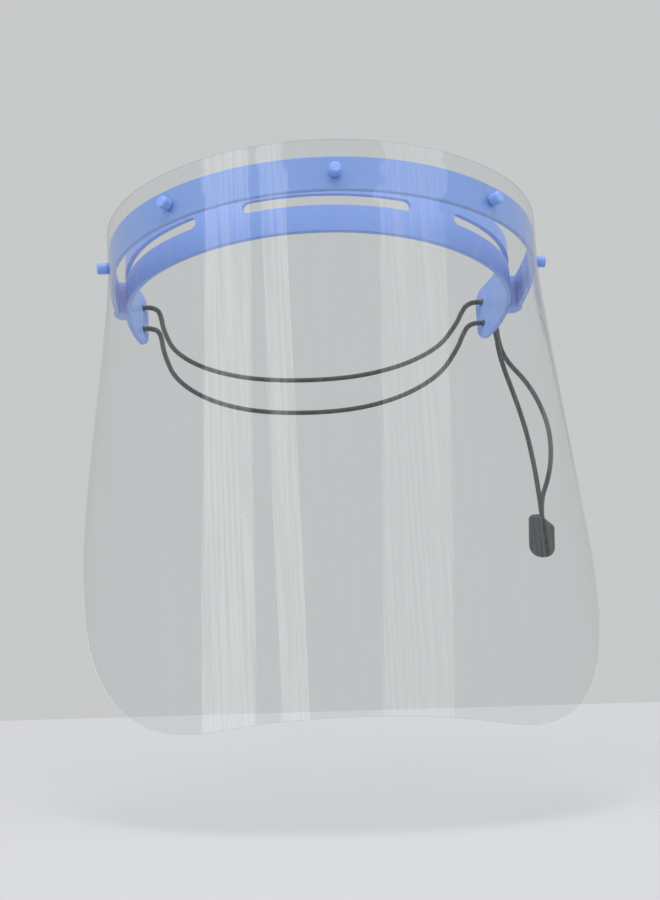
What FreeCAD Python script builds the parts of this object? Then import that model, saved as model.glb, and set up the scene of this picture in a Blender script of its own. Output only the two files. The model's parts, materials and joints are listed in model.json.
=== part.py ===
import FreeCAD, Part
import math
import os
from FreeCAD import Placement, Rotation, Vector

# A face shield: a headband, a visor band that stands off it, a clear visor buttoned on five studs,
# and an elastic cord that ends in a clip.
# Sizes are in millimetres. The bands are drawn in the band frame: x to the wearer's left, y to the
# back, z along the band's upright. Finished pieces are tipped by the wear tilt about x, front up.
# The origin is the middle of the head opening, at the headband's widest point.
WEAR_TILT = 22.7

# Headband: the plan curve of its outer face is a front arc, side arcs and back arcs
HEAD_FRONT_Y = -72.0
HEAD_FRONT_RADIUS = 86.0
HEAD_FRONT_ANGLE = 52.5
HEAD_SIDE_RADIUS = 63.0
HEAD_BACK_RADIUS = 90.0
HEAD_END_Y = 37.0
HEAD_HEIGHT = 24.0
HEAD_WALL = 2.0
HEAD_END_ROUND = 7.0

# Vent slots in the headband, lengths along its outer face
SLOT_LENGTH = 70.0
SLOT_BRIDGE = 21.5
SLOT_HEIGHT = 5.0
SLOT_RISE = 2.2

# Eyelets for the cord near each rear end
EYELET_DIAMETER = 3.2
EYELET_SPACING = 10.0
EYELET_INSET = 5.5

# Visor band; it stands off the headband at the temples by the side gap at least
BAND_SIDE_GAP = 4.5
BAND_FRONT_Y = -107.9
BAND_FRONT_RADIUS = 93.6
BAND_FRONT_ANGLE = 46.4
BAND_SIDE_RADIUS = 72.6
BAND_BACK_RADIUS = 190.0
BAND_HEIGHT = 14.6
BAND_WALL = 2.0
BAND_DROP = 5.5

# Studs on the visor band: one in front, a pair part way round and a pair ahead of the temple sockets,
# placed by lengths along its outer face
STUD_ARC = 70.0
STUD_TO_SOCKET = 27.4
STUD_SHANK_DIAMETER = 4.0
STUD_HEAD_DIAMETER = 4.8
STUD_LENGTH = 5.0
STUD_ROUND = 0.8

# Temple sockets on the headband and the band's tongues
SOCKET_FRONT_Y = -1.5
SOCKET_LENGTH = 7.0
SOCKET_HEIGHT = 14.6
SOCKET_SKIN = 0.4
SOCKET_BACK_WALL = 1.8
TONGUE_WALL = 1.0
TONGUE_HEIGHT = 10.0
FIT_CLEARANCE = 0.15

# Visor sheet, cut flat and bent round the band; it opens out below the band
SHEET_THICKNESS = 0.5
SHEET_SIDE_MARGIN = 6.0
SHEET_ABOVE = 14.4
SHEET_BELOW = 218.5
SHEET_TOP_CORNER = 15.0
SHEET_CORNER_ACROSS = 80.0
SHEET_CORNER_UP = 122.0
SHEET_OPEN_RADIUS = 112.0
SHEET_OPEN_DEPTH = 200.0
SHEET_BLEND = 14.0
SHEET_GAP = 0.15
SHEET_HOLE_CLEARANCE = 0.4
SHEET_COLUMNS = 41
SHEET_ROWS = 31

# Elastic cord: hand-chosen routes in the worn frame, each ending in the middle of an eyelet's wall
# or at the knot; each arc takes up this share of the shorter run beside it
CORD_DIAMETER = 2.2
CORD_ARC_SHARE = 0.45
STRAP_UPPER_HALF = [
    (74.6, 30.7, -7.4), (71.3, 29.5, -6.9), (67.4, 32.0, -8.0), (66.0, 39.3, -10.7),
    (64.9, 53.1, -16.0), (59.6, 77.9, -25.3), (43.0, 99.1, -33.1), (18.0, 111.3, -37.6)]
STRAP_LOWER_HALF = [
    (74.6, 26.8, -16.6), (71.3, 25.7, -16.2), (67.4, 28.1, -17.2), (66.0, 35.2, -20.4),
    (64.9, 48.7, -26.6), (59.6, 72.7, -37.7), (43.0, 93.1, -47.4), (18.0, 104.9, -52.8)]
STRAP_BIGHT = [
    (-74.6, 30.7, -7.4), (-77.9, 31.9, -7.9), (-80.3, 30.7, -12.8), (-77.9, 27.9, -17.0),
    (-74.6, 26.8, -16.6)]
TAIL_OUTER = [
    (74.6, 30.7, -7.4), (77.9, 31.9, -7.9), (80.3, 33.4, -12.2), (80.6, 35.0, -20.4),
    (83.6, 36.2, -31.6), (94.6, 37.0, -42.9), (101.9, 37.6, -56.9), (104.4, 37.8, -70.2),
    (103.2, 37.6, -83.4), (98.4, 37.3, -95.8), (99.8, 37.3, -108.1)]
TAIL_INNER = [
    (74.6, 26.8, -16.6), (77.9, 27.9, -17.0), (79.8, 29.4, -21.9), (81.0, 31.0, -29.6),
    (84.2, 32.6, -39.2), (88.3, 33.6, -49.9), (92.8, 34.3, -63.8), (96.2, 34.8, -79.8),
    (98.4, 34.9, -95.8), (99.8, 34.9, -108.1)]

# Cord-end clip: two halves on a living hinge along the back, drawn with its parting upright under its
# top middle; when it leans, its sides hang upright, and its right shoulder slopes
CLIP_TOP = (98.9, 36.1, -100.2)
CLIP_LEAN = 6.6
CLIP_WIDTH = 11.0
CLIP_DEPTH = 7.0
CLIP_LENGTH = 19.2
CLIP_CORNER = 4.2
CLIP_OUTER_CORNER = 5.6
CLIP_TOP_CORNER = 2.4
CLIP_SHOULDER_START = -1.2
CLIP_SHOULDER_DROP = 6.2
CLIP_EDGE = 1.8
CLIP_PARTING = 0.3
CLIP_GROOVE = 1.4
CLIP_CORD_SPACING = 2.4
CLIP_CLEARANCE = 0.2
KNOT_DEPTH = 8.0
KNOT_LENGTH = 4.5
KNOT_DIAMETER = 3.4
CATCH_DIAMETER = 1.6
CATCH_LENGTH = 1.0
CATCH_Y = -1.0
CATCH_DEPTH = 15.6
CATCH_CLEARANCE = 0.35

EDGE_ROUND = 0.5


class PlanCurve:
    """A band's outer face seen from above: front arc, two side arcs and two back arcs, all tangent.

    An angle of 0 is the front, 90 degrees the widest point. An offset is positive outwards."""

    def __init__(self, front_y, front_radius, front_angle, side_radius, back_radius, side_end=90.0):
        self.front_angle = math.radians(front_angle)
        self.side_end = math.radians(side_end)
        self.front = (0.0, front_y + front_radius, front_radius)
        self.side = self.next_arc(self.front, self.front_angle, side_radius)
        self.back = self.next_arc(self.side, self.side_end, back_radius)
        self.widest_x = self.back[0] + back_radius

    def next_arc(self, arc, angle, radius):
        """The arc of another radius that carries on, tangent, from an angle of the arc before it."""
        x, y, old_radius = arc
        step = old_radius - radius
        return (x + step * math.sin(angle), y - step * math.cos(angle), radius)

    def arc_at(self, angle):
        if angle <= self.front_angle:
            return self.front
        return self.side if angle <= self.side_end else self.back

    def point(self, angle, offset=0.0, z=0.0):
        x, y, radius = self.arc_at(abs(angle))
        reach = radius + offset
        side = -1 if angle < 0 else 1
        return Vector(side * (x + reach * math.sin(abs(angle))), y - reach * math.cos(angle), z)

    def normal(self, angle):
        return Vector(math.sin(angle), -math.cos(angle), 0)

    def angle_at_length(self, length):
        front_length = self.front[2] * self.front_angle
        if length <= front_length:
            return length / self.front[2]
        side_length = self.side[2] * (self.side_end - self.front_angle)
        past_front = length - front_length
        if past_front <= side_length:
            return self.front_angle + past_front / self.side[2]
        return self.side_end + (past_front - side_length) / self.back[2]

    def length_at_y(self, y):
        """The length along the outer face from the front to a place on a back arc."""
        front_length = self.front[2] * self.front_angle
        side_length = self.side[2] * (self.side_end - self.front_angle)
        return front_length + side_length + self.back[2] * (self.angle_at_y(y) - self.side_end)

    def angle_at_y(self, y):
        return math.pi / 2 + math.asin((y - self.back[1]) / self.back[2])

    def strip(self, start, end, inner, outer, low, high):
        """A solid wall between two angles and two offsets."""
        joints = [-self.side_end, -self.front_angle, self.front_angle, self.side_end]
        stops = [start] + [a for a in joints if start < a < end] + [end]
        edges = []
        for a, b in zip(stops, stops[1:]):
            edges.append(self.arc_edge(a, b, outer, low))
        edges.append(Part.makeLine(self.point(end, outer, low), self.point(end, inner, low)))
        for a, b in reversed(list(zip(stops, stops[1:]))):
            edges.append(self.arc_edge(b, a, inner, low))
        edges.append(Part.makeLine(self.point(start, inner, low), self.point(start, outer, low)))
        return Part.Face(Part.Wire(edges)).extrude(Vector(0, 0, high - low))

    def arc_edge(self, a, b, offset, z):
        points = [self.point(angle, offset, z) for angle in (a, (a + b) / 2, b)]
        return Part.Arc(*points).toShape()


def side_end_for(half_width):
    """Where the band's side arcs give way to the back arcs, for it to be at least this wide each side.

    That is 90 degrees where the side arcs reach the width by themselves."""
    side_x = (BAND_FRONT_RADIUS - BAND_SIDE_RADIUS) * math.sin(math.radians(BAND_FRONT_ANGLE))
    sine = (side_x + BAND_BACK_RADIUS - half_width) / (BAND_BACK_RADIUS - BAND_SIDE_RADIUS)
    return math.degrees(math.asin(min(1.0, sine)))


head_curve = PlanCurve(HEAD_FRONT_Y, HEAD_FRONT_RADIUS, HEAD_FRONT_ANGLE,
                       HEAD_SIDE_RADIUS, HEAD_BACK_RADIUS)
band_side_end = side_end_for(head_curve.widest_x + BAND_SIDE_GAP + BAND_WALL)
band_curve = PlanCurve(BAND_FRONT_Y, BAND_FRONT_RADIUS, BAND_FRONT_ANGLE,
                       BAND_SIDE_RADIUS, BAND_BACK_RADIUS, band_side_end)
head_end = head_curve.angle_at_y(HEAD_END_Y)
band_end = band_curve.angle_at_y(SOCKET_FRONT_Y - FIT_CLEARANCE)
tongue_end = band_curve.angle_at_y(SOCKET_FRONT_Y + SOCKET_LENGTH - SOCKET_BACK_WALL - FIT_CLEARANCE)
tongue_outer = (TONGUE_WALL - BAND_WALL) / 2
tongue_inner = tongue_outer - TONGUE_WALL
stud_lengths = (0.0, STUD_ARC, band_curve.length_at_y(SOCKET_FRONT_Y) - STUD_TO_SOCKET)
stud_angles = [0.0]
for stud_length in stud_lengths[1:]:
    stud_angle = band_curve.angle_at_length(stud_length)
    stud_angles += [-stud_angle, stud_angle]
sheet_half_width = stud_lengths[-1] + SHEET_SIDE_MARGIN


def rod(start, direction, diameter, length):
    return Part.makeCylinder(diameter / 2, length, start, direction)


def long_edges(shape, low, high):
    """The curved edges that lie in the two flat faces of a strip."""
    curved = []
    for edge in shape.Edges:
        box = edge.BoundBox
        flat = box.ZLength < 1e-6 and min(abs(box.ZMin - low), abs(box.ZMin - high)) < 1e-6
        if flat and edge.Curve.TypeId == "Part::GeomCircle":
            curved.append(edge)
    return curved


def make_slot(middle_length):
    """A cutter for one vent slot, centred at a length along the headband's outer face."""
    half = SLOT_LENGTH / 2 - SLOT_HEIGHT / 2
    ends = []
    for length in (middle_length - half, middle_length + half):
        ends.append(math.copysign(head_curve.angle_at_length(abs(length)), length))
    reach = 2 * HEAD_WALL
    low = SLOT_RISE - SLOT_HEIGHT / 2
    cutter = head_curve.strip(ends[0], ends[1], -reach, reach, low, low + SLOT_HEIGHT)
    for angle in ends:
        start = head_curve.point(angle, -reach, SLOT_RISE)
        cutter = cutter.fuse(rod(start, head_curve.normal(angle), SLOT_HEIGHT, 2 * reach))
    return cutter


def make_socket():
    """The block on the headband's outer face, at +x, that takes one tongue of the visor band."""
    low = -BAND_DROP - SOCKET_HEIGHT / 2
    back_y = SOCKET_FRONT_Y + SOCKET_LENGTH
    first = band_curve.angle_at_y(SOCKET_FRONT_Y)
    last = band_curve.angle_at_y(back_y)
    root = -HEAD_WALL / 2
    a = head_curve.point(head_curve.angle_at_y(SOCKET_FRONT_Y), root, low)
    b = band_curve.point(first, SOCKET_SKIN, low)
    c = band_curve.point((first + last) / 2, SOCKET_SKIN, low)
    d = band_curve.point(last, SOCKET_SKIN - BAND_WALL, low)
    e = head_curve.point(head_curve.angle_at_y(back_y), root, low)
    edges = [Part.makeLine(a, b), Part.Arc(b, c, d).toShape(), Part.makeLine(d, e), Part.makeLine(e, a)]
    block = Part.Face(Part.Wire(edges)).extrude(Vector(0, 0, SOCKET_HEIGHT))
    slot_end = band_curve.angle_at_y(back_y - SOCKET_BACK_WALL)
    half = TONGUE_HEIGHT / 2 + FIT_CLEARANCE
    slot = band_curve.strip(band_end, slot_end, tongue_inner - FIT_CLEARANCE, tongue_outer + FIT_CLEARANCE,
                            -BAND_DROP - half, -BAND_DROP + half)
    return block, slot


def make_headband():
    low = -HEAD_HEIGHT / 2
    high = HEAD_HEIGHT / 2
    band = head_curve.strip(-head_end, head_end, -HEAD_WALL, 0, low, high)
    corners = [e for e in band.Edges if e.Length < 1.01 * HEAD_WALL and e.BoundBox.ZLength < 1e-6]
    band = band.makeFillet(HEAD_END_ROUND, corners)
    band = band.makeFillet(EDGE_ROUND, long_edges(band, low, high))
    for side in (-1, 0, 1):
        band = band.cut(make_slot(side * (SLOT_LENGTH + SLOT_BRIDGE)))
    block, slot = make_socket()
    for mirrored in (False, True):
        this_block = block.mirror(Vector(), Vector(1, 0, 0)) if mirrored else block
        this_slot = slot.mirror(Vector(), Vector(1, 0, 0)) if mirrored else slot
        band = band.fuse(this_block).cut(this_slot)
    for angle, z in eyelets():
        start = head_curve.point(angle, -2 * HEAD_WALL, z)
        band = band.cut(rod(start, head_curve.normal(angle), EYELET_DIAMETER, 3 * HEAD_WALL))
    return band.removeSplitter()


def eyelets():
    angle = head_curve.angle_at_y(HEAD_END_Y - EYELET_INSET)
    return [(side * angle, z) for side in (-1, 1) for z in (EYELET_SPACING / 2, -EYELET_SPACING / 2)]


def make_stud(angle):
    """A shank through the sheet and a wider rounded head that the sheet is buttoned over."""
    normal = band_curve.normal(angle)
    root = band_curve.point(angle, -BAND_WALL / 2, -BAND_DROP)
    shank_length = SHEET_GAP + SHEET_THICKNESS + SHEET_GAP
    face = band_curve.point(angle, shank_length, -BAND_DROP)
    head_length = STUD_LENGTH - shank_length
    head = rod(face, normal, STUD_HEAD_DIAMETER, head_length)
    tip = face + normal * head_length
    rim = [e for e in head.Edges if (e.BoundBox.Center - tip).Length < 1e-3]
    head = head.makeFillet(STUD_ROUND, rim)
    return rod(root, normal, STUD_SHANK_DIAMETER, BAND_WALL / 2 + shank_length).fuse(head)


def make_visor_band():
    low = -BAND_DROP - BAND_HEIGHT / 2
    high = -BAND_DROP + BAND_HEIGHT / 2
    band = band_curve.strip(-band_end, band_end, -BAND_WALL, 0, low, high)
    tongue_low = -BAND_DROP - TONGUE_HEIGHT / 2
    start = band_curve.angle_at_y(SOCKET_FRONT_Y - BAND_WALL)
    tongue = band_curve.strip(start, tongue_end, tongue_inner, tongue_outer,
                              tongue_low, tongue_low + TONGUE_HEIGHT)
    band = band.fuse(tongue).fuse(tongue.mirror(Vector(), Vector(1, 0, 0)))
    band = band.makeFillet(EDGE_ROUND, long_edges(band, low, high))
    for angle in stud_angles:
        band = band.fuse(make_stud(angle))
    return band.removeSplitter()


def sheet_top(across):
    """Height of the sheet's upper edge over the stud line, at a distance across from its middle."""
    into = max(0.0, abs(across) - sheet_half_width + SHEET_TOP_CORNER)
    return SHEET_ABOVE - SHEET_TOP_CORNER + math.sqrt(max(0.0, SHEET_TOP_CORNER ** 2 - into ** 2))


def sheet_bottom(across):
    """Height of the sheet's lower edge, with its long rounded corners."""
    into = max(0.0, abs(across) - sheet_half_width + SHEET_CORNER_ACROSS) / SHEET_CORNER_ACROSS
    return -SHEET_BELOW + SHEET_CORNER_UP * (1 - math.sqrt(max(0.0, 1 - into ** 2)))


def sheet_opening(height):
    """0 along the band, rising below it to 1 at the depth where the open radius is given."""
    def rise(depth):
        return depth ** 2 / (depth + SHEET_BLEND)
    below_band = max(0.0, -height - BAND_HEIGHT / 2)
    return rise(below_band) / rise(SHEET_OPEN_DEPTH - BAND_HEIGHT / 2)


def sheet_point(across, height, offset):
    """A point of the bent sheet, from its place on the flat sheet."""
    share = sheet_opening(height)
    front_radius = BAND_FRONT_RADIUS + share * (SHEET_OPEN_RADIUS - BAND_FRONT_RADIUS)
    side_radius = BAND_SIDE_RADIUS + share * (SHEET_OPEN_RADIUS - BAND_SIDE_RADIUS)
    curve = PlanCurve(BAND_FRONT_Y, front_radius, BAND_FRONT_ANGLE,
                      side_radius, BAND_BACK_RADIUS, band_side_end)
    angle = math.copysign(curve.angle_at_length(abs(across)), across)
    return curve.point(angle, offset, height - BAND_DROP)


def sheet_face(offset):
    grid = []
    for column in range(SHEET_COLUMNS):
        turn = math.pi * (column / (SHEET_COLUMNS - 1) - 0.5)
        across = sheet_half_width * math.sin(turn)
        top = sheet_top(across)
        drop = sheet_bottom(across) - top
        heights = [top + drop * row / (SHEET_ROWS - 1) for row in range(SHEET_ROWS)]
        grid.append([sheet_point(across, height, offset) for height in heights])
    surface = Part.BSplineSurface()
    surface.interpolate(grid)
    return surface.toShape()


def make_visor():
    inner = sheet_face(SHEET_GAP)
    outer = sheet_face(SHEET_GAP + SHEET_THICKNESS)
    faces = [inner, outer]
    for inner_edge, outer_edge in zip(inner.Edges, outer.Edges):
        faces.append(Part.makeRuledSurface(inner_edge, outer_edge))
    shell = Part.makeShell(faces)
    shell.sewShape()
    sheet = Part.makeSolid(shell)
    if sheet.Volume < 0:
        sheet.reverse()
    hole_diameter = STUD_SHANK_DIAMETER + SHEET_HOLE_CLEARANCE
    for angle in stud_angles:
        start = band_curve.point(angle, -BAND_WALL, -BAND_DROP)
        sheet = sheet.cut(rod(start, band_curve.normal(angle), hole_diameter, 4 * BAND_WALL))
    return sheet


def make_cord(points):
    """A round tube along straight runs and tangent arcs; returns the solid, its length and its radii."""
    corners = [Vector(*point) for point in points]
    edges = []
    radii = []
    start = corners[0]
    for before, corner, after in zip(corners, corners[1:], corners[2:]):
        back = (before - corner).normalize()
        ahead = (after - corner).normalize()
        half_turn = (math.pi - back.getAngle(ahead)) / 2
        reach = CORD_ARC_SHARE * min((before - corner).Length, (after - corner).Length)
        radius = reach / math.tan(half_turn)
        radii.append(radius)
        bisector = (back + ahead).normalize()
        crown = corner + bisector * (radius / math.cos(half_turn) - radius)
        edges.append(Part.LineSegment(start, corner + back * reach).toShape())
        start = corner + ahead * reach
        edges.append(Part.Arc(corner + back * reach, crown, start).toShape())
    edges.append(Part.LineSegment(start, corners[-1]).toShape())
    path = Part.Wire(edges)
    ring = Part.Wire(Part.makeCircle(CORD_DIAMETER / 2, corners[0], corners[1] - corners[0]))
    return path.makePipeShell([ring], True, False), path.Length, radii


def mirrored_route(half):
    """The route from one end to the middle, then the same points back to the other end."""
    return half + [(-x, y, z) for x, y, z in reversed(half)]


def place_clip(shape):
    """Lean the upright clip and hang it at its place."""
    lean = Rotation(Vector(0, 1, 0), -CLIP_LEAN)
    shape = shape.copy()
    shape.Placement = Placement(Vector(*CLIP_TOP), lean).multiply(shape.Placement)
    return shape


def clip_corner(side, depth):
    """A corner of the clip's outline on its left (-1) or right (1) side, at a depth below its top."""
    return Vector(side * CLIP_WIDTH / 2 - depth * math.tan(math.radians(CLIP_LEAN)), -CLIP_DEPTH / 2, -depth)


def make_clip_pebble():
    """The clip's solid form, each corner of its outline with its own round."""
    rounds = [
        (clip_corner(-1, 0.0), CLIP_TOP_CORNER),
        (Vector(CLIP_SHOULDER_START, -CLIP_DEPTH / 2, 0), CLIP_TOP_CORNER),
        (clip_corner(1, CLIP_SHOULDER_DROP), CLIP_TOP_CORNER),
        (clip_corner(1, CLIP_LENGTH), CLIP_CORNER),
        (clip_corner(-1, CLIP_LENGTH), CLIP_OUTER_CORNER)]
    corners = [corner for corner, radius in rounds]
    pebble = Part.Face(Part.makePolygon(corners + corners[:1])).extrude(Vector(0, CLIP_DEPTH, 0))
    for corner, radius in rounds:
        middle = corner + Vector(0, CLIP_DEPTH / 2, 0)
        across = [e for e in pebble.Edges if (e.CenterOfMass - middle).Length < 1e-6]
        pebble = pebble.makeFillet(radius, across)
    rim = [e for e in pebble.Edges if e.BoundBox.YLength < 1e-6]
    return pebble.makeFillet(CLIP_EDGE, rim)


def make_clip_body():
    """The whole clip before it is split: a rounded pebble with cord channels and a knot chamber."""
    body = make_clip_pebble()
    for side in (-1, 1):
        start = Vector(0, side * CLIP_CORD_SPACING / 2, 0)
        body = body.cut(rod(start, Vector(0, 0, -1), CORD_DIAMETER + 2 * CLIP_CLEARANCE, KNOT_DEPTH))
    chamber = make_knot(CLIP_CLEARANCE)
    groove = Part.makeBox(CLIP_GROOVE, CLIP_GROOVE, CLIP_LENGTH)
    groove.rotate(Vector(), Vector(0, 0, 1), 45)
    groove.translate(Vector(0, -CLIP_DEPTH / 2 - CLIP_GROOVE * math.sqrt(0.5), -CLIP_LENGTH))
    return body.cut(chamber).cut(groove)


def make_knot(grow=0.0):
    """The knot of the two cord ends: two upright cylinders, one behind the other, run together."""
    lobes = []
    for side in (-1, 1):
        start = Vector(0, side * CLIP_CORD_SPACING / 2, -KNOT_DEPTH + grow)
        lobes.append(rod(start, Vector(0, 0, -1), KNOT_DIAMETER + 2 * grow, KNOT_LENGTH + 2 * grow))
    return lobes[0].fuse(lobes[1]).removeSplitter()


def clip_half(side):
    """One half of the clip; the left one (-1) carries the catch peg and the right one its hole."""
    size = 2 * CLIP_LENGTH
    start_x = CLIP_PARTING / 2 if side > 0 else -CLIP_PARTING / 2 - size
    keep = Part.makeBox(size, size, size, Vector(start_x, -size / 2, -1.5 * CLIP_LENGTH))
    half = make_clip_body().common(keep)
    root = Vector(-CLIP_PARTING / 2 - CATCH_LENGTH, CATCH_Y, -CATCH_DEPTH)
    if side < 0:
        return half.fuse(rod(root, Vector(1, 0, 0), CATCH_DIAMETER, 2 * CATCH_LENGTH + CLIP_PARTING))
    hole = rod(Vector(0, CATCH_Y, -CATCH_DEPTH), Vector(1, 0, 0), CATCH_DIAMETER + 2 * CATCH_CLEARANCE,
               CATCH_LENGTH + CLIP_PARTING + CATCH_CLEARANCE)
    return half.cut(hole)


def write(name, shape, tilted=False):
    if tilted:
        shape = shape.copy()
        shape.Placement = Placement(Vector(), Rotation(Vector(1, 0, 0), -WEAR_TILT)).multiply(shape.Placement)
    print(name, "solids", len(shape.Solids), "valid", shape.isValid(), "volume", round(shape.Volume, 1))
    shape.exportStep("parts/" + name + ".step")


os.makedirs("parts", exist_ok=True)
write("headband", make_headband(), tilted=True)
write("visor_band", make_visor_band(), tilted=True)
write("visor", make_visor(), tilted=True)
cord_routes = {
    "strap_upper": mirrored_route(STRAP_UPPER_HALF),
    "strap_lower": mirrored_route(STRAP_LOWER_HALF),
    "strap_bight": STRAP_BIGHT,
    "tail_outer": TAIL_OUTER,
    "tail_inner": TAIL_INNER,
}
for cord_name, route in cord_routes.items():
    tube, length, radii = make_cord(route)
    section = math.pi * CORD_DIAMETER ** 2 / 4
    print(cord_name, "length", round(length, 1), "volume over section times length",
          round(tube.Volume / (section * length), 4), "radii", [round(r, 1) for r in radii])
    write(cord_name, tube)
write("cord_knot", place_clip(make_knot()))
write("clip_left", place_clip(clip_half(-1)))
write("clip_right", place_clip(clip_half(1)))
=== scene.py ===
# %% [markdown]
# # A clear face shield
# The shield is a slotted headband, a second band that stands off it, a clear sheet buttoned on five
# studs, and one elastic cord that ends in a small clip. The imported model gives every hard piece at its
# real size, so this lesson only dresses it: it never moves or resizes what it is given.

# %% Load the frame
import json
import math

import bmesh
import bpy
from mathutils import Matrix, Quaternion, Vector


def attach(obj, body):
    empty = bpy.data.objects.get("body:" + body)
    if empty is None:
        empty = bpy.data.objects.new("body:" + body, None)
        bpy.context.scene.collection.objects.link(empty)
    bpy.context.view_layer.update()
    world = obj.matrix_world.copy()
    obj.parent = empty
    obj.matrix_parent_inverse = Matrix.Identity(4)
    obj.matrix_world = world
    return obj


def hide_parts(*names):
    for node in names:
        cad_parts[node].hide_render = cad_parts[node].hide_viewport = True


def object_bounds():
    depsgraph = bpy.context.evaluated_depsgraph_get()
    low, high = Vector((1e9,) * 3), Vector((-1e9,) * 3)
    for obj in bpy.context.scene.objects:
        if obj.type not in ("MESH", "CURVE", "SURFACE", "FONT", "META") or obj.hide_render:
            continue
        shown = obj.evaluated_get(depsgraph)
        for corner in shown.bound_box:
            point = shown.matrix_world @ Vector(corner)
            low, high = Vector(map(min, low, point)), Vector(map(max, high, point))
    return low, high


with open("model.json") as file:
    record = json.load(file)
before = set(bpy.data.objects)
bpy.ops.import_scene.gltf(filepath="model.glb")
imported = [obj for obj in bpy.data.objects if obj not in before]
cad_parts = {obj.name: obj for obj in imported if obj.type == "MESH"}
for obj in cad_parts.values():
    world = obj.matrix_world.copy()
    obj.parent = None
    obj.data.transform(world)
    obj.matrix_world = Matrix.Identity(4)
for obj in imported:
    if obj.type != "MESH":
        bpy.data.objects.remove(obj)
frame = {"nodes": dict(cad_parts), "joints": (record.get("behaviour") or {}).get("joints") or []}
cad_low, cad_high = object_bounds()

MM = 0.001
scene = bpy.context.scene
print("frame", [round(v, 3) for v in cad_low], [round(v, 3) for v in cad_high])

# %% [markdown]
# ## The camera
# A wide lens close by would swell the middle of the sheet. A long lens from a metre away keeps the two
# sides of the visor nearly parallel, as in a catalogue picture. The view is turned a few degrees, so
# that one side shows a little more than the other.

# %% Camera
EYE = Vector((-0.0813, -1.1254, -0.0703))
YAW = math.radians(4.316)
ROLL = math.radians(-1.224)
LENS = 106.6


def add_object(name, data):
    """A new object at the origin, linked into the scene."""
    made = bpy.data.objects.new(name, data)
    scene.collection.objects.link(made)
    return made


def aim(made, place, heading, roll):
    """Put a camera or a lamp at a place, looking along a heading and rolled about it."""
    made.location = place
    made.rotation_mode = "QUATERNION"
    made.rotation_quaternion = heading.to_track_quat("-Z", "Y") @ Quaternion((0, 0, 1), roll)


camera_data = bpy.data.cameras.new("camera")
camera_data.lens = LENS
camera = add_object("camera", camera_data)
aim(camera, EYE, Vector((math.sin(YAW), math.cos(YAW), 0.0)), ROLL)
scene.camera = camera
print("camera", round(EYE.length, 3), "m from the origin, with a lens of", LENS, "mm")

# %% [markdown]
# ## Wiring node trees
# Shader and geometry trees are graphs. They could be listed node by node and link by link, but sums are
# easier to read as Python. So a `Wire` holds one socket, and its operators add Math nodes. Every other
# node comes from `Graph.node`, which sets the node's settings first and then its sockets.

# %% Wires
class Wire:
    """An output socket that can be used in sums."""

    def __init__(self, graph, socket):
        self.graph = graph
        self.socket = socket

    def __add__(self, other):
        return self.graph.maths("ADD", self, other)

    def __radd__(self, other):
        return self.graph.maths("ADD", other, self)

    def __sub__(self, other):
        return self.graph.maths("SUBTRACT", self, other)

    def __rsub__(self, other):
        return self.graph.maths("SUBTRACT", other, self)

    def __mul__(self, other):
        return self.graph.maths("MULTIPLY", self, other)

    def __rmul__(self, other):
        return self.graph.maths("MULTIPLY", other, self)

    def __truediv__(self, other):
        return self.graph.maths("DIVIDE", self, other)

    def __rtruediv__(self, other):
        return self.graph.maths("DIVIDE", other, self)

    def __pow__(self, other):
        return self.graph.maths("POWER", self, other)

    def __rpow__(self, other):
        return self.graph.maths("POWER", other, self)

    def __abs__(self):
        return self.graph.maths("ABSOLUTE", self)

    def sine(self):
        return self.graph.maths("SINE", self)

    def larger(self, other):
        return self.graph.maths("MAXIMUM", self, other)

    def spread(self, low, high):
        """This wire's range of 0 to 1, taken to low and high."""
        return low + self * (high - low)


# %% Graphs
class Graph:
    """A node tree that is filled by calls."""

    def __init__(self, tree):
        self.tree = tree

    def node(self, kind, settings=None, sockets=None, out=0):
        """Add a node, and give the wire from one of its outputs, if it has any."""
        made = self.tree.nodes.new(kind)
        for name, value in (settings or {}).items():
            setattr(made, name, value)
        for name, value in (sockets or {}).items():
            if isinstance(value, Wire):
                self.tree.links.new(value.socket, made.inputs[name])
            else:
                made.inputs[name].default_value = value
        return Wire(self, made.outputs[out]) if len(made.outputs) else None

    def maths(self, operation, *terms):
        return self.node("ShaderNodeMath", {"operation": operation}, dict(enumerate(terms)))


def new_finish(name):
    """A material with an empty node tree, and the graph that fills it."""
    material = bpy.data.materials.new(name)
    material.use_nodes = True
    material.node_tree.nodes.clear()
    return material, Graph(material.node_tree)


def dress(material, *nodes):
    """Give pieces of the frame a finish."""
    for name in nodes:
        frame["nodes"][name].material_slots[0].material = material
    print(material.name, len(material.node_tree.nodes), "nodes, on", *nodes)


print("pieces to dress or replace:", *frame["nodes"])

# %% [markdown]
# ## Moulded blue plastic
# Both bands are injection moulded, in a satin blue that lets a little light into its surface. One flat
# colour would pass from far off, but the real colour drifts slightly along the moulding, and a very fine
# texture breaks the gloss. Noise on Object coordinates gives both. It needs no unwrapping, and it stays
# put when a piece moves. The small helpers in the first cell serve the other finishes too.

# %% Patterns on a surface
def object_place(graph):
    """Where a point lies on its piece, in metres."""
    return graph.node("ShaderNodeTexCoord", out="Object")


def noise(graph, place, scale, detail, distortion=0.0):
    """A cloudy pattern about 0.5, with about scale clouds to a metre."""
    return graph.node("ShaderNodeTexNoise", None, {
        "Vector": place, "Scale": scale, "Detail": detail, "Distortion": distortion})


def mixed(graph, share, first, second):
    """A colour between two others."""
    return graph.node("ShaderNodeMix", {"data_type": "RGBA"}, {0: share, 6: first, 7: second}, out=2)


def relief(graph, height, strength, depth):
    """A normal that is tilted by a height."""
    return graph.node("ShaderNodeBump", None, {
        "Strength": strength, "Distance": depth, "Height": height})


def show(graph, shader):
    graph.node("ShaderNodeOutputMaterial", None, {"Surface": shader})


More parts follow.
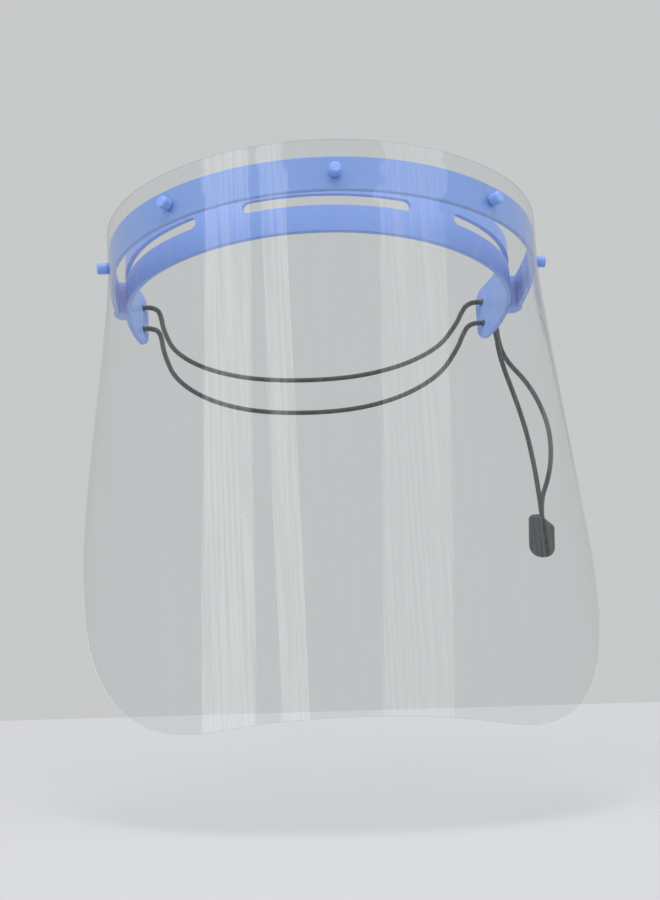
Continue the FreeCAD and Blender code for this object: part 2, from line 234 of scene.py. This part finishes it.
# %% Blue plastic
BLUE_DEEP = (0.200, 0.335, 0.740, 1.0)
BLUE_PALE = (0.240, 0.378, 0.785, 1.0)
BLUE_ROUGHNESS = (0.30, 0.44)
BLUE_DRIFT_SCALE = 26.0
BLUE_GRAIN_SCALE = 1500.0
BLUE_FLOW_SCALE = 120.0
FLOW_IN_RELIEF = 0.6


def make_moulded_blue():
    material, graph = new_finish("moulded_blue")
    place = object_place(graph)
    drift = noise(graph, place, BLUE_DRIFT_SCALE, detail=3.0)
    grain = noise(graph, place, BLUE_GRAIN_SCALE, detail=2.0)
    flow = noise(graph, place, BLUE_FLOW_SCALE, detail=4.0)
    shader = graph.node("ShaderNodeBsdfPrincipled", None, {
        "Base Color": mixed(graph, drift, BLUE_DEEP, BLUE_PALE),
        "Roughness": flow.spread(*BLUE_ROUGHNESS),
        "Normal": relief(graph, grain + flow * FLOW_IN_RELIEF, strength=0.16, depth=0.2 * MM),
        "Subsurface Weight": 0.12, "Subsurface Scale": 2.0 * MM, "Subsurface Radius": (0.4, 0.6, 1.0),
        "IOR": 1.49})
    show(graph, shader)
    return material


dress(make_moulded_blue(), "headband", "visor_band")

# %% [markdown]
# ## Satin black plastic
# The clip is a small black moulding with a spark-eroded skin: rough to a fingernail, and greyer where
# it has been handled. The skin is far too fine to model, so it is bump, and a slower noise greys it.

# %% Clip plastic
CLIP_BLACK = (0.022, 0.023, 0.026, 1.0)
CLIP_WORN = (0.056, 0.058, 0.064, 1.0)
CLIP_ROUGHNESS = (0.40, 0.60)
CLIP_WEAR_SCALE = 210.0
CLIP_SKIN_SCALE = 2600.0
WEAR_CONTRAST = 2.0


def make_clip_black():
    material, graph = new_finish("clip_black")
    place = object_place(graph)
    handled = noise(graph, place, CLIP_WEAR_SCALE, detail=4.0)
    skin = noise(graph, place, CLIP_SKIN_SCALE, detail=2.0)
    shader = graph.node("ShaderNodeBsdfPrincipled", None, {
        "Base Color": mixed(graph, handled ** WEAR_CONTRAST, CLIP_BLACK, CLIP_WORN),
        "Roughness": handled.spread(*CLIP_ROUGHNESS),
        "Normal": relief(graph, skin, strength=0.3, depth=0.1 * MM)})
    show(graph, shader)
    return material


dress(make_clip_black(), "clip_left", "clip_right")

# %% [markdown]
# ## The elastic cord
# One cord goes up from the clip, through an eyelet, round the back, through two eyelets at the far side,
# round the back again and down to the clip. The two strands at the back and the short turn that joins
# them are one stretch. A chain of straight runs and arcs would look like bent wire, so each stretch is
# one smooth spline with listed control points.

# %% Cord routes
STRAP_UPPER_HALF = [
    (74.6, 30.7, -7.4), (71.3, 29.5, -6.9), (67.4, 32.0, -8.0), (66.0, 39.3, -10.7),
    (64.9, 53.1, -16.0), (59.6, 77.9, -25.3), (43.0, 99.1, -33.1), (18.0, 111.3, -37.6)]
STRAP_LOWER_HALF = [
    (74.6, 26.8, -16.6), (71.3, 25.7, -16.2), (67.4, 28.1, -17.2), (66.0, 35.2, -20.4),
    (64.9, 48.7, -26.6), (59.6, 72.7, -37.7), (43.0, 93.1, -47.4), (18.0, 104.9, -52.8)]
STRAP_TURN = [(-77.9, 31.9, -7.9), (-80.3, 30.7, -12.8), (-77.9, 27.9, -17.0)]
TAIL_OUTER = [
    (74.6, 30.7, -7.4), (77.9, 31.9, -7.9), (80.3, 33.4, -12.2), (80.6, 35.0, -20.4),
    (83.6, 36.2, -31.6), (94.6, 37.0, -42.9), (101.9, 37.6, -56.9), (104.4, 37.8, -70.2),
    (103.2, 37.6, -83.4), (98.4, 37.3, -95.8), (99.8, 37.3, -108.1)]
TAIL_INNER = [
    (74.6, 26.8, -16.6), (77.9, 27.9, -17.0), (79.8, 29.4, -21.9), (81.0, 31.0, -29.6),
    (84.2, 32.6, -39.2), (88.3, 33.6, -49.9), (92.8, 34.3, -63.8), (96.2, 34.8, -79.8),
    (98.4, 34.9, -95.8), (99.8, 34.9, -108.1)]


def whole_strand(half):
    """A strand from one eyelet to the other: its first half, then that half mirrored."""
    return half + [(-x, y, z) for x, y, z in reversed(half)]


lower_strand_back = whole_strand(STRAP_LOWER_HALF)[::-1]
strap_route = whole_strand(STRAP_UPPER_HALF) + STRAP_TURN + lower_strand_back
print("control points:", len(strap_route), "strap,", len(TAIL_OUTER), "outer tail,",
      len(TAIL_INNER), "inner tail")

# %% [markdown]
# ## The woven cover
# The cord is rubber in a woven black cover. Bump alone would leave its outline a plain tube, so the weave
# is real relief: a geometry tree sweeps a ring along the spline and presses two crossing sets of yarns
# into it. The height of the yarns is kept as an attribute, and the finish paints shade into the gaps.

# %% Cord finish
CORD_GAP_SHADE = (0.012, 0.0125, 0.014, 1.0)
CORD_LIT = (0.050, 0.052, 0.055, 1.0)
CORD_ROUGHNESS = (0.62, 0.82)
FIBRE_SCALE = 3800.0
FIBRE_SHADE = (0.5, 1.1)


def make_woven_black():
    material, graph = new_finish("woven_black")
    yarn = graph.node("ShaderNodeAttribute", {"attribute_name": "yarn"}, out="Fac")
    fibre = noise(graph, object_place(graph), FIBRE_SCALE, detail=2.0)
    shader = graph.node("ShaderNodeBsdfPrincipled", None, {
        # Painted shade: the colour is darker the lower the weave lies, so the gaps between the yarns read
        # as shaded.
        "Base Color": mixed(graph, yarn * fibre.spread(*FIBRE_SHADE), CORD_GAP_SHADE, CORD_LIT),
        "Roughness": fibre.spread(*CORD_ROUGHNESS),
        "Normal": relief(graph, fibre, strength=0.4, depth=0.1 * MM),
        "Sheen Weight": 0.25, "Sheen Roughness": 0.5})
    show(graph, shader)
    return material


woven_black = make_woven_black()
print(woven_black.name, len(woven_black.node_tree.nodes), "nodes")

# %% Sweep a tube
CORD_DIAMETER = 2.2 * MM
CORD_SIZES = {"Radius": CORD_DIAMETER / 2, "Step": 0.32 * MM, "Pitch": 2.6 * MM,
              "Relief": 0.11 * MM, "Yarns": 8.0}
RING_POINTS = 32


def stored(graph, geometry, name, value):
    """Geometry whose points keep a value."""
    return graph.node("GeometryNodeStoreNamedAttribute", {"data_type": "FLOAT", "domain": "POINT"},
                      {"Geometry": geometry, "Name": name, "Value": value})


def kept(graph, name):
    """The value that the points keep."""
    return graph.node("GeometryNodeInputNamedAttribute", {"data_type": "FLOAT"}, {"Name": name})


def swept(graph, given):
    """A tube along the curve, whose points know how far along and round it they are."""
    route = graph.node("GeometryNodeResampleCurve", {"mode": "LENGTH"},
                       {"Curve": given["Geometry"], "Length": given["Step"]})
    route = stored(graph, route, "along", graph.node("GeometryNodeSplineParameter", out="Length"))
    ring = graph.node("GeometryNodeCurvePrimitiveCircle", {"mode": "RADIUS"},
                      {"Resolution": RING_POINTS, "Radius": given["Radius"]})
    ring = stored(graph, ring, "around", graph.node("GeometryNodeSplineParameter", out="Factor"))
    return graph.node("GeometryNodeCurveToMesh", None,
                      {"Curve": route, "Profile Curve": ring, "Fill Caps": True})


print("cord", {name: round(size, 5) for name, size in CORD_SIZES.items()})

# %% Weave its cover
def woven(graph, given, tube):
    """The tube with two crossing sets of yarns pressed into it."""
    twist = kept(graph, "around") * given["Yarns"] * math.tau
    run = kept(graph, "along") * math.tau / given["Pitch"]
    height = 0.5 + (twist + run).sine() * (twist - run).sine() * 0.5
    tube = stored(graph, tube, "yarn", height)
    normal = graph.node("GeometryNodeInputNormal")
    press = graph.node("ShaderNodeVectorMath", {"operation": "SCALE"},
                       {0: normal, "Scale": (height - 1.0) * given["Relief"]})
    return graph.node("GeometryNodeSetPosition", None, {"Geometry": tube, "Offset": press})


def make_cord_tree():
    tree = bpy.data.node_groups.new("woven_cord", "GeometryNodeTree")
    tree.interface.new_socket("Geometry", in_out="INPUT", socket_type="NodeSocketGeometry")
    for name in CORD_SIZES:
        tree.interface.new_socket(name, in_out="INPUT", socket_type="NodeSocketFloat")
    tree.interface.new_socket("Geometry", in_out="OUTPUT", socket_type="NodeSocketGeometry")
    graph = Graph(tree)
    given = {name: graph.node("NodeGroupInput", out=name) for name in ("Geometry", *CORD_SIZES)}
    tube = woven(graph, given, swept(graph, given))
    tube = graph.node("GeometryNodeSetShadeSmooth", None, {"Geometry": tube})
    tube = graph.node("GeometryNodeRealizeInstances", None, {"Geometry": tube})
    tube = graph.node("GeometryNodeSetMaterial", None, {"Geometry": tube, "Material": woven_black})
    graph.node("NodeGroupOutput", None, {"Geometry": tube})
    return tree


cord_tree = make_cord_tree()
print(cord_tree.name, len(cord_tree.nodes), "nodes")

# %% Draw the lines and weave them
SPLINE_STEPS = 24


def make_line(name, route_mm):
    """A smooth spline with a route's points as its control points."""
    curve = bpy.data.curves.new(name + "_line", "CURVE")
    curve.dimensions = "3D"
    curve.resolution_u = SPLINE_STEPS
    spline = curve.splines.new("NURBS")
    spline.points.add(len(route_mm) - 1)
    for point, place in zip(spline.points, route_mm):
        point.co = (*(value * MM for value in place), 1.0)
    spline.order_u = 3
    spline.use_endpoint_u = True
    return add_object(name + "_line", curve)


def evaluated_mesh(made, name):
    """What an object's modifiers make of it, as a plain mesh."""
    evaluated = made.evaluated_get(bpy.context.evaluated_depsgraph_get())
    mesh = bpy.data.meshes.new_from_object(evaluated)
    mesh.name = name
    return mesh


def make_stretch(name, route_mm):
    """A woven piece on a route, and the points of the spline that it follows."""
    line = make_line(name, route_mm)
    bare = bpy.data.meshes.new_from_object(line)
    path = [tuple(vertex.co) for vertex in bare.vertices]
    bpy.data.meshes.remove(bare)
    modifier = line.modifiers.new("woven", "NODES")
    modifier.node_group = cord_tree
    for item in cord_tree.interface.items_tree:
        if item.in_out == "INPUT" and item.name in CORD_SIZES:
            modifier[item.identifier] = CORD_SIZES[item.name]
    mesh = evaluated_mesh(line, name)
    line.modifiers.remove(modifier)
    bpy.data.objects.remove(line)
    print(name, len(mesh.polygons), "faces on", len(path), "points")
    return add_object(name, mesh), path


strap, strap_path = make_stretch("cord_strap", strap_route)
tail_outer, tail_outer_path = make_stretch("cord_tail_outer", TAIL_OUTER)
tail_inner, tail_inner_path = make_stretch("cord_tail_inner", TAIL_INNER)
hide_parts("strap_upper", "strap_bight", "strap_lower")
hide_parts("tail_outer")
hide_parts("tail_inner")

# %% [markdown]
# ## The sealed cord ends
# Inside the clip the two cut ends are melted into beads, which are wider than the channels above them,
# so the cord can't pull out. A bead could be sculpted, but it is round about the cord, so a profile is
# spun. Each bead follows on from its tail.

# %% Cord ends
BEAD_LENGTH = 4.5 * MM
BEAD_RADIUS = 1.7 * MM
BEAD_SIDES = 28
BEAD_PROFILE = [(0.0, 0.0), (0.64, 0.0), (0.66, 0.14), (0.84, 0.3), (0.97, 0.48), (1.0, 0.66),
                (0.93, 0.83), (0.72, 0.95), (0.38, 1.0), (0.0, 1.0)]
MERGE_DISTANCE = 0.001 * MM


def mesh_of(shape, name):
    """A mesh from a finished bmesh, which is freed."""
    mesh = bpy.data.meshes.new(name)
    shape.to_mesh(mesh)
    shape.free()
    return mesh


def make_bead(place):
    """One spun bead, moved to its place."""
    bead = bmesh.new()
    profile = [bead.verts.new((radius * BEAD_RADIUS, 0.0, -depth * BEAD_LENGTH))
               for radius, depth in BEAD_PROFILE]
    edges = [bead.edges.new(pair) for pair in zip(profile, profile[1:])]
    bmesh.ops.spin(bead, geom=profile + edges, axis=(0, 0, 1), cent=(0, 0, 0),
                   angle=math.tau, steps=BEAD_SIDES)
    bmesh.ops.remove_doubles(bead, verts=bead.verts, dist=MERGE_DISTANCE)
    bmesh.ops.recalc_face_normals(bead, faces=bead.faces)
    bmesh.ops.transform(bead, matrix=place, verts=bead.verts)
    return mesh_of(bead, "bead")


def make_cord_ends():
    clip_axis = Vector(frame["joints"][0]["axis"]).normalized()
    upright = clip_axis.to_track_quat("Z", "Y").to_matrix().to_4x4()
    shape = bmesh.new()
    for route in (TAIL_OUTER, TAIL_INNER):
        bead = make_bead(Matrix.Translation(Vector(route[-1]) * MM) @ upright)
        shape.from_mesh(bead)
        bpy.data.meshes.remove(bead)
    for face in shape.faces:
        face.smooth = True
    mesh = mesh_of(shape, "cord_ends")
    mesh.materials.append(woven_black)
    print(mesh.name, len(mesh.polygons), "faces")
    return add_object("cord_ends", mesh)


cord_ends = make_cord_ends()
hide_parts("cord_knot")

# %% [markdown]
# ## What the cord is
# The real cord is limp, and only its shape at rest is modelled. A simulation could be given the meshes
# alone, but it would take them for rods. All four pieces ride on the shield.

for piece in (strap, tail_outer, tail_inner, cord_ends):
    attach(piece, "shield")
print("declared", strap.name, tail_outer.name, tail_inner.name)

# %% [markdown]
# ## The clear sheet
# The visor is cut flat from clear plastic and bent round the band, so its shape follows a rule: a point
# on the flat sheet goes round a front arc, a side arc and a back arc. Below the band the arcs open out.
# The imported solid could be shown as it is, but building the sheet from that rule gives even, smooth
# faces, which matter on a surface that is all reflection, and lets the cut edge have its own finish.

# %% Sheet sizes
WEAR_TILT = math.radians(22.7)
BAND_FRONT_Y = -107.9 * MM
FRONT_RADIUS = 93.6 * MM
SIDE_RADIUS = 72.6 * MM
BACK_RADIUS = 190.0 * MM
FRONT_ANGLE = math.radians(46.4)
BAND_HEIGHT = 14.6 * MM
BAND_DROP = 5.5 * MM
OPEN_RADIUS = 112.0 * MM
OPEN_DEPTH = 200.0 * MM
OPEN_BLEND = 14.0 * MM
SHEET_HALF_WIDTH = 137.0 * MM
SHEET_ABOVE = 14.4 * MM
SHEET_BELOW = 218.5 * MM
TOP_CORNER = 15.0 * MM
LOW_CORNER_ACROSS = 80.0 * MM
LOW_CORNER_UP = 122.0 * MM
SHEET_THICKNESS = 0.5 * MM
SHEET_GAP = 0.15 * MM
print("flat sheet", round(2 * SHEET_HALF_WIDTH, 4), "by", round(SHEET_ABOVE + SHEET_BELOW, 4), "m")

# %% Bend the sheet
def opened(height):
    """0 along the band, and 1 at the depth where the sheet has its open radius."""
    def rise(depth):
        return depth ** 2 / (depth + OPEN_BLEND)
    return rise(max(0.0, -height - BAND_HEIGHT / 2)) / rise(OPEN_DEPTH - BAND_HEIGHT / 2)


def bent(across, height, offset):
    """Where a point of the flat sheet lies on the worn one."""
    share = opened(height)
    front = FRONT_RADIUS + share * (OPEN_RADIUS - FRONT_RADIUS)
    side = SIDE_RADIUS + share * (OPEN_RADIUS - SIDE_RADIUS)
    x, y, radius, start, left = 0.0, BAND_FRONT_Y + front, front, 0.0, abs(across)
    for next_radius, end in ((side, FRONT_ANGLE), (BACK_RADIUS, math.pi / 2)):
        if left <= radius * (end - start):
            break
        left -= radius * (end - start)
        x += (radius - next_radius) * math.sin(end)
        y -= (radius - next_radius) * math.cos(end)
        radius, start = next_radius, end
    angle = start + left / radius
    reach = radius + offset
    flat_x = math.copysign(x + reach * math.sin(angle), across)
    place = Vector((flat_x, y - reach * math.cos(angle), height - BAND_DROP))
    return Matrix.Rotation(-WEAR_TILT, 3, "X") @ place


def sheet_ends(across):
    """The sheet's upper and lower edge at a distance across from its middle."""
    into = max(0.0, abs(across) - SHEET_HALF_WIDTH + TOP_CORNER)
    top = SHEET_ABOVE - TOP_CORNER + math.sqrt(max(0.0, TOP_CORNER ** 2 - into ** 2))
    into = max(0.0, abs(across) - SHEET_HALF_WIDTH + LOW_CORNER_ACROSS) / LOW_CORNER_ACROSS
    return top, -SHEET_BELOW + LOW_CORNER_UP * (1 - math.sqrt(max(0.0, 1 - into ** 2)))


print("lowest point", [round(value, 4) for value in bent(0.0, -SHEET_BELOW, 0.0)])

# %% [markdown]
# ## Clear plastic and its cut edge
# A thin clear sheet mirrors a little of the room and lets the rest through. A glass shader would bend
# the light twice for nothing, so a Mix Shader weighs a Transparent shader against a Glossy one. The
# mirrored share grows towards a grazing view. Only the face that is met from outside mirrors, for both,
# because a ray that leaves the sheet would otherwise bounce inside it until it is lost. The sheet was
# rolled, so fine upright streaks run down it, which draw the lamps out into thin lines, and it dimples
# where the band presses on it. These marks and a few specks of dust follow the flat sheet, so they read
# its UV map, which holds metres across and up the sheet. The die-cut edge is frosted, and shows as a
# fine line.

# %% Clear finish
CLEAR_TINT = (0.955, 0.966, 0.963, 1.0)
SQUARE_ON_MIRROR = 0.085
MIRROR_FALLOFF = 3.5
STREAK_DRAW = 0.016
RIPPLE_SCALE = 30.0
RIPPLE_HEIGHT = 0.12
STREAK_SCALE = 900.0
STREAK_HEIGHT = 0.014
DIMPLE_SCALE = 55.0
DIMPLE_HEIGHT = 0.45
DIMPLE_REACH = (4 * MM, 14 * MM)
POLISH_STREAK = (0.36, 0.64)
POLISH = (0.6, 1.3)
DUST = (0.80, 0.80, 0.78, 1.0)
DUST_COVER = 0.75
SPECK_SCALE = 75.0
SPECK_EDGE = (0.012, 0.022)


def graded(graph, value, start, end, low, high, easing="SMOOTHSTEP"):
    """A value's range from start to end, taken to low and high."""
    return graph.node("ShaderNodeMapRange", {"interpolation_type": easing}, {
        "Value": value, "From Min": start, "From Max": end, "To Min": low, "To Max": high})


def make_clear_sheet():
    material, graph = new_finish("clear_sheet")
    flat = graph.node("ShaderNodeUVMap", {"uv_map": "flat_sheet"})
    drawn = graph.node("ShaderNodeMapping", None, {"Vector": flat, "Scale": (1.0, STREAK_DRAW, 1.0)})
    ripple = noise(graph, drawn, RIPPLE_SCALE, detail=1.0)
    streak = noise(graph, drawn, STREAK_SCALE, detail=3.0)
    dimple = noise(graph, flat, DIMPLE_SCALE, detail=0.0, distortion=0.9)
    up_sheet = graph.node("ShaderNodeSeparateXYZ", None, {"Vector": flat}, out="Y")
    near_band = graded(graph, abs(up_sheet), *DIMPLE_REACH, 1.0, 0.0)
    marks = ripple * RIPPLE_HEIGHT + streak * STREAK_HEIGHT + dimple * near_band * DIMPLE_HEIGHT
    bump = relief(graph, marks, strength=1.0, depth=1.0 * MM)
    facing = graph.node("ShaderNodeLayerWeight", None, {"Blend": 0.5}, out="Facing")
    entering = 1 - graph.node("ShaderNodeNewGeometry", out="Backfacing")
    mirror = (SQUARE_ON_MIRROR + (1 - SQUARE_ON_MIRROR) * facing ** MIRROR_FALLOFF) * entering
    polish = graded(graph, streak, *POLISH_STREAK, *POLISH)
    speck = graph.node("ShaderNodeTexVoronoi", None, {"Vector": flat, "Scale": SPECK_SCALE})
    dust = graded(graph, speck, *SPECK_EDGE, DUST_COVER, 0.0, easing="LINEAR")
    clear = graph.node("ShaderNodeBsdfTransparent", None, {"Color": CLEAR_TINT})
    gloss = graph.node("ShaderNodeBsdfGlossy", None, {"Roughness": 0.03, "Normal": bump})
    dull = graph.node("ShaderNodeBsdfDiffuse", None, {"Color": DUST})
    clean = graph.node("ShaderNodeMixShader", None, {0: mirror * polish, 1: clear, 2: gloss})
    shader = graph.node("ShaderNodeMixShader", None, {0: dust * entering, 1: clean, 2: dull})
    show(graph, shader)
    return material


clear_sheet = make_clear_sheet()
print(clear_sheet.name, len(clear_sheet.node_tree.nodes), "nodes")

# %% Cut edge finish
EDGE_TINT = (0.62, 0.64, 0.64, 1.0)
EDGE_ROUGHNESS = (0.25, 0.55)
EDGE_COVER = (0.55, 0.85)
SHEAR_SCALE = 900.0


def make_cut_edge():
    material, graph = new_finish("cut_edge")
    shear = noise(graph, object_place(graph), SHEAR_SCALE, detail=2.0)
    shader = graph.node("ShaderNodeBsdfPrincipled", None, {
        "Base Color": EDGE_TINT, "Roughness": shear.spread(*EDGE_ROUGHNESS),
        "Alpha": shear.spread(*EDGE_COVER)})
    show(graph, shader)
    return material


cut_edge = make_cut_edge()
print(cut_edge.name, len(cut_edge.node_tree.nodes), "nodes")

# %% [markdown]
# ## Cutting the sheet
# The real sheet is die cut, holes and all. Holes could be cut into the grid of faces by hand, but that
# would break up its even rows. So a plain grid is bent by the rule, a Solidify modifier gives it its
# thickness and its edge finish, and a Boolean punches the five holes.

# %% Blank
COLUMNS = 220
ROWS = 130


def make_blank():
    """The bent sheet with no thickness yet, whose UV map holds its flat places."""
    middle = SHEET_GAP + SHEET_THICKNESS / 2
    shape = bmesh.new()
    flat_map = shape.loops.layers.uv.new("flat_sheet")
    flat_places = {}
    grid = []
    for column in range(COLUMNS + 1):
        across = SHEET_HALF_WIDTH * math.sin(math.pi * (column / COLUMNS - 0.5))
        top, low = sheet_ends(across)
        grid.append([])
        for row in range(ROWS + 1):
            height = top + (low - top) * row / ROWS
            grid[-1].append(shape.verts.new(bent(across, height, middle)))
            flat_places[grid[-1][-1]] = (across, height)
    for left, right in zip(grid, grid[1:]):
        for row in range(ROWS):
            face = shape.faces.new((left[row], left[row + 1], right[row + 1], right[row]))
            face.smooth = True
            for corner in face.loops:
                corner[flat_map].uv = flat_places[corner.vert]
    mesh = mesh_of(shape, "flat_sheet")
    for material in (clear_sheet, cut_edge):
        mesh.materials.append(material)
    print("blank", len(mesh.polygons), "faces")
    return add_object("blank", mesh)


blank = make_blank()

# %% Hole punch
STUD_PLACES = [0.0, -70.0 * MM, 70.0 * MM, -131.03 * MM, 131.03 * MM]
HOLE_DIAMETER = 4.4 * MM
HOLE_SIDES = 48
PUNCH_REACH = 3 * MM


def make_hole_punch():
    """Short round rods through the sheet, one at each stud."""
    shape = bmesh.new()
    for across in STUD_PLACES:
        outer, inner = bent(across, 0.0, PUNCH_REACH), bent(across, 0.0, -PUNCH_REACH)
        turn = (outer - inner).to_track_quat("Z", "Y").to_matrix().to_4x4()
        bmesh.ops.create_cone(shape, cap_ends=True, segments=HOLE_SIDES, radius1=HOLE_DIAMETER / 2,
                              radius2=HOLE_DIAMETER / 2, depth=(outer - inner).length,
                              matrix=Matrix.Translation((outer + inner) / 2) @ turn)
    print("hole punch", len(STUD_PLACES), "rods")
    return add_object("hole_punch", mesh_of(shape, "hole_punch"))


hole_punch = make_hole_punch()

# %% Sheet piece
SHARP_ANGLE = math.radians(40)


def make_visor_sheet():
    """The blank with its thickness and holes. The blank and the punch are used up."""
    thickness = blank.modifiers.new("thickness", "SOLIDIFY")
    thickness.thickness = SHEET_THICKNESS
    thickness.offset = 0.0
    thickness.material_offset_rim = 1
    holes = blank.modifiers.new("holes", "BOOLEAN")
    holes.object = hole_punch
    holes.solver = "EXACT"
    mesh = evaluated_mesh(blank, "visor_sheet")
    mesh.set_sharp_from_angle(angle=SHARP_ANGLE)
    bpy.data.objects.remove(blank)
    bpy.data.objects.remove(hole_punch)
    print(mesh.name, len(mesh.polygons), "faces")
    return add_object("visor_sheet", mesh)


visor_sheet = make_visor_sheet()
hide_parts("visor")
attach(visor_sheet, "shield")

# %% [markdown]
# ## Floor, backdrop and light
# A pale floor lies just below the shield, with its far edge behind it, and the world is a plain pale
# backdrop. One large lamp would do for the shading, but a clear sheet shows the shapes of its lamps. So
# the light is soft from all round and strongest from above, and large panels, high at the left and
# right, put the long upright reflections on the sheet. Two side fills light the ends of the bands, and
# are kept out of the reflections.

# %% Floor
FLOOR_DROP = 0.034
FLOOR_BACK = 0.25
FLOOR_FRONT = -1.6
FLOOR_HALF_WIDTH = 1.6
FLOOR_WHITE = (0.500, 0.502, 0.512, 1.0)


def make_floor():
    level = cad_low.z - FLOOR_DROP
    corners = [(-FLOOR_HALF_WIDTH, FLOOR_FRONT, level), (FLOOR_HALF_WIDTH, FLOOR_FRONT, level),
               (FLOOR_HALF_WIDTH, FLOOR_BACK, level), (-FLOOR_HALF_WIDTH, FLOOR_BACK, level)]
    mesh = bpy.data.meshes.new("floor")
    mesh.from_pydata(corners, [], [(0, 1, 2, 3)])
    material, graph = new_finish("floor_white")
    shader = graph.node("ShaderNodeBsdfPrincipled", None, {"Base Color": FLOOR_WHITE, "Roughness": 0.6})
    show(graph, shader)
    mesh.materials.append(material)
    print("floor at", round(level, 4), "m")
    return add_object("floor", mesh)


floor = make_floor()

# %% World
BACKDROP_GREY = (0.575, 0.582, 0.588, 1.0)
ROOM_LIGHT = (0.74, 0.75, 0.765, 1.0)


def make_world():
    """Grey where it is seen, straight on, mirrored or through the sheet, and else the room's light."""
    world = bpy.data.worlds.new("room")
    world.use_nodes = True
    world.node_tree.nodes.clear()
    graph = Graph(world.node_tree)
    seen = graph.node("ShaderNodeLightPath", out="Is Camera Ray")
    for ray in ("Is Glossy Ray", "Is Transmission Ray"):
        seen = seen.larger(graph.node("ShaderNodeLightPath", out=ray))
    light = graph.node("ShaderNodeBackground", None, {"Color": ROOM_LIGHT})
    backdrop = graph.node("ShaderNodeBackground", None, {"Color": BACKDROP_GREY})
    surface = graph.node("ShaderNodeMixShader", None, {0: seen, 1: light, 2: backdrop})
    graph.node("ShaderNodeOutputWorld", None, {"Surface": surface})
    return world


scene.world = make_world()
print("world", scene.world.name, len(scene.world.node_tree.nodes), "nodes")

# %% Light panels
PANEL_DISTANCE = 1.7
# Each panel: name, azimuth, elevation, roll, width, height, radiance
PANELS = [
    ("panel_left", -58.0, 36.0, 28.0, 0.64, 1.25, 1.32),
    ("panel_left_inner", -31.0, 43.0, 28.0, 0.30, 1.25, 1.22),
    ("panel_right", 42.0, 37.4, -60.0, 0.62, 1.6, 0.86),
    ("panel_top", 0.0, 84.0, 0.0, 1.3, 1.3, 3.4)]
FILLS = [
    ("fill_left", -82.0, 18.0, 0.0, 0.9, 1.1, 1.1),
    ("fill_right", 82.0, 18.0, 0.0, 0.9, 1.1, 1.9)]


def make_panel(name, azimuth, elevation, roll, width, height, radiance):
    """A soft rectangle of light that faces the shield."""
    data = bpy.data.lights.new(name, "AREA")
    data.shape = "RECTANGLE"
    data.size = width
    data.size_y = height
    data.energy = radiance * math.pi * width * height
    turn, rise = math.radians(azimuth), math.radians(elevation)
    away = Vector((math.sin(turn) * math.cos(rise), -math.cos(turn) * math.cos(rise), math.sin(rise)))
    panel = add_object(name, data)
    aim(panel, away * PANEL_DISTANCE, -away, math.radians(roll))
    panel.visible_camera = False
    return panel


for panel in PANELS:
    make_panel(*panel)
for fill in FILLS:
    make_panel(*fill).visible_glossy = False
print(len(PANELS), "panels and", len(FILLS), "side fills")
scene.view_settings.view_transform = "Standard"
